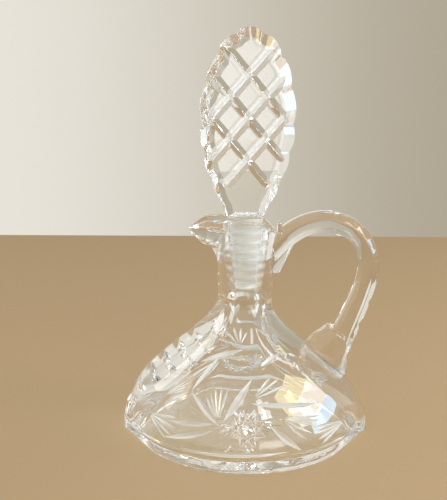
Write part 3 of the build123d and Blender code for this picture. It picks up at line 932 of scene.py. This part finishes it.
def glass(name, ground_test=None, ground_satin=(0.0, 0.0), roughness=0.0, painted_light=0.0, waviness=PLAIN_WAVES):
    """Clear glass, or glass whitened as painted light, with faint waves, finely ground where a test on the
    place says so.
    """
    material = new_material(name)
    tree = material.node_tree
    place = node(tree, "TexCoord", "Object", {})
    waves = node(tree, "TexNoise", "Fac", {"Vector": place, "Scale": WAVE_SCALE})
    # Less transmission where painted light is asked for, so that the glass turns diffuse white there
    look = {
        "Base Color": two_tone(tree, waves, [part * TINT_DEPTH for part in TINT], TINT),
        "Roughness": remap(tree, waves, roughness, roughness + WAVE_ROUGHNESS),
        "IOR": REFRACTION,
        "Transmission Weight": 1.0 - painted_light,
    }
    bump = {"Height": waves, "Strength": waviness, "Distance": WAVE_HEIGHT * MM}
    if ground_test:
        height = node(tree, "SeparateXYZ", "Z", {"Vector": place})
        above = calculate(tree, "GREATER_THAN", height, GROUND_FROM * MM)
        ground = calculate(tree, "MULTIPLY", ground_test(tree, place, height), above)
        scale = BAND_SCALE / (GRINDING_PITCH * MM)
        bands = {"Vector": place, "Scale": scale, "Distortion": GRINDING_WAVER}
        rings = node(tree, "TexWave", "Fac", bands, bands_direction="Z")
        clearness = remap(tree, rings, 1.0 - ground_satin[0], 1.0 - ground_satin[1])
        look["Transmission Weight"] = blend(tree, ground, 1.0 - painted_light, clearness)
        look["Roughness"] = blend(tree, ground, look["Roughness"], GROUND_ROUGHNESS)
        ridges = calculate(tree, "MULTIPLY", ground, rings)
        fine = {"Height": ridges, "Strength": GRINDING_STRENGTH, "Distance": GRINDING_HEIGHT * MM}
        bump["Normal"] = node(tree, "Bump", "Normal", fine)
    look["Normal"] = node(tree, "Bump", "Normal", bump)
    shader = node(tree, "BsdfPrincipled", "BSDF", look)
    shadow = node(tree, "BsdfTransparent", "BSDF", {"Color": SHADOW_TINT})
    in_shadow = node(tree, "LightPath", "Is Shadow Ray", {})
    return show(material, node(tree, "MixShader", "Shader", {"Fac": in_shadow, 1: shader, 2: shadow}))


def near_axis(tree, place, _):
    """1 on the seat inside the neck, and not on the neck's outside."""
    flat = node(tree, "VectorMath", "Vector", {0: place, 1: (1.0, 1.0, 0.0)}, operation="MULTIPLY")
    distance = node(tree, "VectorMath", "Value", {0: flat}, operation="LENGTH")
    return calculate(tree, "LESS_THAN", distance, SEAT_WITHIN * MM)


def below_head(tree, _, height):
    """1 on the plug, and not on the head."""
    return calculate(tree, "LESS_THAN", height, PLUG_GROUND_TO * MM)


def make_vessel():
    """Vessel: blank, hollow, trough, notched spine and wheel-cut decoration."""
    vessel = ring_solid("vessel_visual", vessel_rings())
    vessel.data.materials.append(glass("cut glass", near_axis, SEAT_SATIN, waviness=VESSEL_WAVES))
    # Second material: wheel cuts whitened as a painted highlight
    vessel.data.materials.append(glass("wheel cuts", roughness=CUT_ROUGHNESS, painted_light=CUT_PAINTED_HIGHLIGHT))
    cutters = [chamber(), bore(), lip_trough()] + spine_notches() + base_star()
    carve(vessel, cutters + pinwheel(-1) + pinwheel(1))
    finish_surface(vessel)
    return vessel


def head_point(turn, inset=0.0):
    """Point of the head's outline, in degrees from its top (0) to its foot (180)."""
    wide = HEAD_HALF_WIDTH - inset
    if turn <= 90:
        tall = HEAD_LENGTH - HEAD_LOW_LENGTH - inset
        return Vector((wide * sin(radians(turn)), HEAD_LOW_LENGTH + tall * cos(radians(turn))))
    way = (turn - 90) / 90
    foot_inset = inset * HEAD_FOOT_BEVEL / HEAD_BEVEL
    low = HEAD_LOW_LENGTH - (HEAD_LOW_LENGTH - foot_inset) * way
    return Vector((wide * cos(radians(HEAD_FOOT_TURN * way)), low))


def head_outline(inset):
    """Scalloped outline of the head, anticlockwise from its foot on the right."""
    turns = [FIRST_SCALLOP + SCALLOP_STEP * step for step in range(SCALLOP_COUNT)]
    notches = [head_point(turn, inset + SCALLOP_DEPTH) for turn in turns]
    right = []
    for turn, notch, after in zip(turns, notches, notches[1:]):
        middle = head_point(turn + SCALLOP_STEP / 2, inset)
        right += through_three(notch, middle, after, SCALLOP_STEPS)[:-1]
    foot = head_point(180, inset)
    right += line_of(notches[-1], foot, HEAD_FOOT_STEPS)
    (x, y), summit = notches[0], head_point(0, inset)
    top = through_three((-x, y), summit, (x, y), HEAD_TOP_STEPS)[1:-1]
    left = [(-x, y) for x, y in right]
    base = line_of((-foot.x, foot.y), foot, HEAD_FOOT_STEPS)[1:-1]
    return right[::-1] + top[::-1] + left + base


def lattice():
    """Groove cutters that cross on both faces of the head; those that lean one way leave whitened faces,
    painted light that makes them read lighter than the others.
    """
    cutters = []
    for face in (-1, 1):
        for row in range(LATTICE_ROWS):
            crossing = Vector((0, face * HEAD_THICKNESS / 2, LOWEST_CROSSING + row * 2 * LATTICE_HALF_HEIGHT))
            for lean in (-1, 1):
                along = Vector((lean * LATTICE_HALF_WIDTH, 0, LATTICE_HALF_HEIGHT)).normalized()
                below = LOWEST_ARM if row == 0 else HEAD_LENGTH
                middle = crossing + along * ((HEAD_LENGTH - below) / 2)
                outward = Vector((0, face, 0))
                groove = wedge(middle, along, outward, LATTICE_DEPTH, LATTICE_ANGLE, HEAD_LENGTH + below)
                cutters.append(painted_light(groove) if lean > 0 else groove)
    return cutters


def plug():
    """Tapered plug with a rounded end and a chamfered top."""
    end = PLUG_END_RADIUS - PLUG_END_ROUNDING
    profile = [(PLUG_END_RADIUS / 2, -PLUG_LENGTH)]
    bends = even_steps(0, pi / 2, ROUNDING_STEPS)
    for bend in bends:
        rise = PLUG_END_ROUNDING * (1 - cos(bend))
        profile.append((end + PLUG_END_ROUNDING * sin(bend), rise - PLUG_LENGTH))
    for below in even_steps(PLUG_LENGTH, 0, PLUG_ROWS)[1:]:
        profile.append((plug_radius(below), -below))
    for bend in bends[1:]:
        profile.append((PLUG_TOP_RADIUS - PLUG_CHAMFER * (1 - cos(bend)), PLUG_CHAMFER * sin(bend)))
    profile.append((PLUG_TOP_RADIUS / 2, PLUG_CHAMFER))
    turns = even_steps(0, 2 * pi, PLUG_COLUMNS)[:-1]
    return ring_solid("plug", [round_ring(radius, height, turns) for radius, height in profile])


def make_stopper():
    """Stopper: bevelled head with a lattice of grooves, and a ground plug."""
    face, edge = HEAD_THICKNESS / 2, HEAD_EDGE / 2
    offsets = ((-face, HEAD_BEVEL), (-edge, 0.0), (edge, 0.0), (face, HEAD_BEVEL))
    rings = [[(x, y, z) for x, z in head_outline(inset)] for y, inset in offsets]
    head = ring_solid("stopper_visual", rings)
    head.data.materials.append(glass("stopper glass", below_head, PLUG_SATIN))
    # Second material: lattice grooves whitened as painted light
    head.data.materials.append(glass("lattice cuts", roughness=LATTICE_ROUGHNESS, painted_light=LATTICE_PAINTED_LIGHT))
    carve(head, lattice())
    head.data.transform(Matrix.Rotation(radians(HEAD_LEAN), 4, "Y"))
    carve(head, [plug()], "UNION")
    turned = Matrix.Rotation(radians(HEAD_TURN), 4, "Z")
    head.data.transform(Matrix.Translation((0, 0, HEAD_FOOT_HEIGHT * MM)) @ turned)
    finish_surface(head)
    return head


def natural_spline(points, count):
    """Smooth line through points, with its directions and its length. Places are complex numbers."""
    places = [complex(*point) for point in points]
    spans = [abs(b - a) for a, b in zip(places, places[1:])]
    slopes = [(b - a) / span for a, b, span in zip(places, places[1:], spans)]
    size = len(places)
    diagonal, upper, right, bends = ([first] * size for first in (1.0, 0.0, 0.0, 0.0))
    for k in range(1, size - 1):
        factor = spans[k - 1] / diagonal[k - 1]
        diagonal[k] = 2 * (spans[k - 1] + spans[k]) - factor * upper[k - 1]
        upper[k] = spans[k]
        right[k] = 6 * (slopes[k] - slopes[k - 1]) - factor * right[k - 1]
    for k in range(size - 2, 0, -1):
        bends[k] = (right[k] - upper[k] * bends[k + 1]) / diagonal[k]
    fine = []
    for a, b, first, second, span in zip(places, places[1:], bends, bends[1:], spans):
        for t in even_steps(0.0, span, SPLINE_STEPS)[:-1]:
            place = first * (span - t) ** 3 / (6 * span) + second * t**3 / (6 * span)
            place += (a / span - first * span / 6) * (span - t) + (b / span - second * span / 6) * t
            fine.append((place.real, place.imag))
    even = spread_evenly(fine + [points[-1]], count)
    directions = []
    for k in range(count + 1):
        a, b = even[max(k - 1, 0)], even[min(k + 1, count)]
        run = dist(a, b)
        directions.append(((b[0] - a[0]) / run, (b[1] - a[1]) / run))
    return even, directions, sum(dist(a, b) for a, b in zip(even, even[1:]))


def strap_section(thickness):
    """Bevelled section of the strap with softly rounded corners: (across, away from the fingers)."""
    half_width = STRAP_WIDTH / 2
    half = thickness / 2
    right = [
        (half_width - STRAP_INNER_BEVEL, -half),
        (half_width, -half + STRAP_INNER_BEVEL),
        (half_width, half - STRAP_OUTER_BEVEL),
        (half_width - STRAP_OUTER_BEVEL, half),
    ]
    corners = right + [(-x, y) for x, y in reversed(right)]
    rounded = []
    for index, corner in enumerate(corners):
        before = Vector(corners[index - 1])
        after = Vector(corners[(index + 1) % len(corners)])
        here = Vector(corner)
        first = here + (before - here).normalized() * STRAP_CORNER
        last = here + (after - here).normalized() * STRAP_CORNER
        for t in even_steps(0, 1, CORNER_STEPS):
            rounded.append(tuple(first * (1 - t) ** 2 + here * (2 * t * (1 - t)) + last * t**2))
    return rounded


def foot_seat():
    """Where the foot stands on the shoulder: origin, up the shoulder, and out of the glass."""
    above, below = FOOT_MIDDLE_HEIGHT + SLOPE_STEP, FOOT_MIDDLE_HEIGHT - SLOPE_STEP
    lean = reach(above, CORNER_REACH) - reach(below, CORNER_REACH)
    up_slope = Vector((lean, 0, 1)).normalized()
    outward = Vector((1, 0, -lean)).normalized()
    return Vector((reach(FOOT_MIDDLE_HEIGHT, CORNER_REACH), 0, FOOT_MIDDLE_HEIGHT)), up_slope, outward


def foot_piece():
    """Rounded foot that spreads the lower end of the strap on the shoulder."""
    origin, up_slope, outward = foot_seat()
    rings = []
    for out, low, high in FOOT_SIDE:
        centre = (low + high) / 2
        straight = max((high - low) / 2 - FOOT_WIDTH / 2, 0.0)
        end_radius = (high - low) / 2 - straight
        ring = []
        for turn in even_steps(0, 2 * pi, FOOT_COLUMNS)[:-1]:
            up = centre + (straight if cos(turn) >= 0 else -straight) + end_radius * cos(turn)
            across = Vector((0, FOOT_WIDTH / 2 * sin(turn), 0))
            ring.append(tuple(origin + up_slope * up + outward * out + across))
        rings.append(ring)
    return ring_solid("foot", rings)


def tab_piece():
    """Tab on the neck with its tongue beside the rim."""
    count = len(TAB_OUTLINE)
    points = [(x, y, z) for y in (-TAB_WIDTH / 2, TAB_WIDTH / 2) for x, z in TAB_OUTLINE]
    faces = [tuple(range(count)), tuple(range(2 * count - 1, count - 1, -1))]
    for k in range(count):
        after = (k + 1) % count
        faces.append((k, after, after + count, k + count))
    tab = add_piece("tab", points, faces)
    edit(tab.data, lambda work: bmesh.ops.bevel(
        work, geom=list(work.edges), offset=TAB_ROUNDING * MM,
        segments=CORNER_STEPS, profile=0.5, affect="EDGES",
    ))
    return tab


def handle_notches(line, directions, length):
    """Notch cutters across the back of the strap."""
    cutters = []
    for index in range(HANDLE_NOTCH_COUNT):
        step = round((FIRST_HANDLE_NOTCH + index * HANDLE_NOTCH_PITCH) / length * STRAP_STEPS)
        (x, z), (dx, dz) = line[step], directions[step]
        away = Vector((-dz, 0, dx))
        place = Vector((x, 0, z)) + away * (STRAP_THICKNESS / 2)
        across = Vector((0, 1, 0))
        cutters.append(wedge(place, across, away, HANDLE_NOTCH_DEPTH, HANDLE_NOTCH_ANGLE, 2 * STRAP_WIDTH))
    return cutters


def make_handle():
    """Handle: bevelled strap with notches, tab and foot, let into the vessel's skin."""
    origin, up_slope, outward = foot_seat()
    end = origin + up_slope * STRAP_END[0] + outward * STRAP_END[1]
    end = (end.x, end.z)
    points = [
        STRAP_ROOT,
        share_point(STRAP_ROOT, STRAP_TOP, STRAP_RISE_SHARE),
        STRAP_TOP,
        share_point(STRAP_TOP, STRAP_BACK, STRAP_TURN_SHARE),
        STRAP_BACK,
        share_point(STRAP_BACK, end, STRAP_FALL_SHARE),
        end,
    ]
    line, directions, length = natural_spline(points, STRAP_STEPS)
    rings = []
    for step, ((x, z), (dx, dz)) in enumerate(zip(line, directions)):
        swell = max(step / STRAP_STEPS - 1.0 + STRAP_SWELL, 0.0) / STRAP_SWELL
        thickness = STRAP_THICKNESS + (STRAP_FOOT_THICKNESS - STRAP_THICKNESS) * swell
        rings.append([(x - dz * out, across, z + dx * out) for across, out in strap_section(thickness)])
    handle = ring_solid("handle_visual", rings)
    handle.data.materials.append(glass("handle glass", waviness=HANDLE_WAVES))
    carve(handle, handle_notches(line, directions, length))
    carve(handle, [tab_piece(), foot_piece()], "UNION")
    skin = ring_solid("skin", vessel_rings())
    normals = [vertex.normal.copy() for vertex in skin.data.vertices]
    for vertex, normal in zip(skin.data.vertices, normals):
        vertex.co -= normal * FUSED_OVERLAP * MM
    carve(handle, [skin])
    finish_surface(handle)
    return handle


def floor_material():
    """Matt floor with a faint unevenness."""
    material = new_material("floor")
    tree = material.node_tree
    noise = node(tree, "TexNoise", "Fac", {"Scale": FLOOR_WAVE_SCALE})
    colour = two_tone(tree, noise, [part * FLOOR_DEPTH for part in FLOOR_COLOUR], FLOOR_COLOUR)
    look = {"Base Color": colour, "Roughness": FLOOR_ROUGHNESS, "Specular IOR Level": FLOOR_GLOSS}
    return show(material, node(tree, "BsdfPrincipled", "BSDF", look))


def bent_rays(tree):
    """1 for what is seen in a reflection or through glass."""
    path = node(tree, "LightPath", "Is Glossy Ray", {})
    return calculate(tree, "MAXIMUM", path, path.node.outputs["Is Transmission Ray"])


def backdrop_material():
    """Backdrop with painted light: lighter on the left and darker on the right, as if lit from the left,
    shown as it is written.
    """
    material = new_material("wall")
    tree = material.node_tree
    place = node(tree, "TexCoord", "Object", {})
    across = node(tree, "SeparateXYZ", "X", {"Vector": place})
    # Painted light: the backdrop fades from its lit left to its shaded right
    left, right = PAINTED_LIGHT_SPAN
    limits = {"Value": across, "From Min": left * MM, "From Max": right * MM}
    share = node(tree, "MapRange", "Result", limits, interpolation_type="SMOOTHSTEP")
    colour = two_tone(tree, share, WALL_PAINTED_LIGHT, WALL_PAINTED_SHADE)
    matt = node(tree, "BsdfDiffuse", "BSDF", {"Color": colour})
    shown = node(tree, "Emission", "Emission", {"Color": colour})
    seen = calculate(tree, "MAXIMUM", node(tree, "LightPath", "Is Camera Ray", {}), bent_rays(tree))
    return show(material, node(tree, "MixShader", "Shader", {"Fac": seen, 1: matt, 2: shown}))


def rectangle(half, low, high):
    """Corners of a rectangle, around from its lower left."""
    return (-half, low), (half, low), (half, high), (-half, high)


def stage():
    """Plain floor that ends behind the object, and a far backdrop, plain but for painted light that makes it
    lighter on the left and darker on the right.
    """
    face = [(0, 1, 2, 3)]
    corners = rectangle(FLOOR_SPAN, -FLOOR_SPAN, FLOOR_EDGE)
    floor = add_piece("floor", [(x, y, -FLOOR_DROP) for x, y in corners], face)
    floor.data.materials.append(floor_material())
    corners = rectangle(WALL_SPAN, *WALL_HEIGHTS)
    wall = add_piece("wall", [(x, WALL_DISTANCE, z) for x, z in corners], face)
    wall.data.materials.append(backdrop_material())


def lamp(name, place, target, size, power, colour):
    """Soft rectangular lamp that faces a target."""
    data = bpy.data.lights.new(name, "AREA")
    data.shape = "RECTANGLE"
    data.size, data.size_y = size
    data.energy = power
    data.color = colour
    away = Vector(target) - Vector(place)
    place_object(name, data, place, away.to_track_quat("-Z", "Y").to_euler())


def lights():
    """Soft studio light, and a pale room that looks brighter in reflections and through the glass."""
    for values in LAMPS:
        lamp(*values)
    world = bpy.data.worlds.new("room")
    bpy.context.scene.world = world
    world.use_nodes = True
    tree = world.node_tree
    background = tree.nodes["Background"].inputs
    background["Color"].default_value = ROOM_COLOUR
    tree.links.new(remap(tree, bent_rays(tree), ROOM_LIGHT, 1.0), background["Strength"])


def light_paths():
    """Enough bounces for light to find its way out of thick cut glass."""
    cycles = bpy.context.scene.cycles
    cycles.max_bounces = 32
    cycles.glossy_bounces = 24
    cycles.transmission_bounces = 32


def camera():
    """Camera at the photo's viewing angle."""
    data = bpy.data.cameras.new("camera")
    data.lens = CAMERA_LENS
    data.sensor_width = CAMERA_SENSOR
    rotation = (radians(90 - CAMERA_DIP), 0.0, radians(CAMERA_TURN))
    bpy.context.scene.camera = place_object("camera", data, CAMERA_PLACE, rotation)


pieces = (
    (make_vessel(), "vessel", "carafe"),
    (make_handle(), "handle", "carafe"),
    (make_stopper(), "stopper", "stopper"),
)
for piece, name, body in pieces:
    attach(piece, body)
    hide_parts(name)
stage()
lights()
light_paths()
camera()
bpy.context.scene.view_settings.view_transform = "Standard"
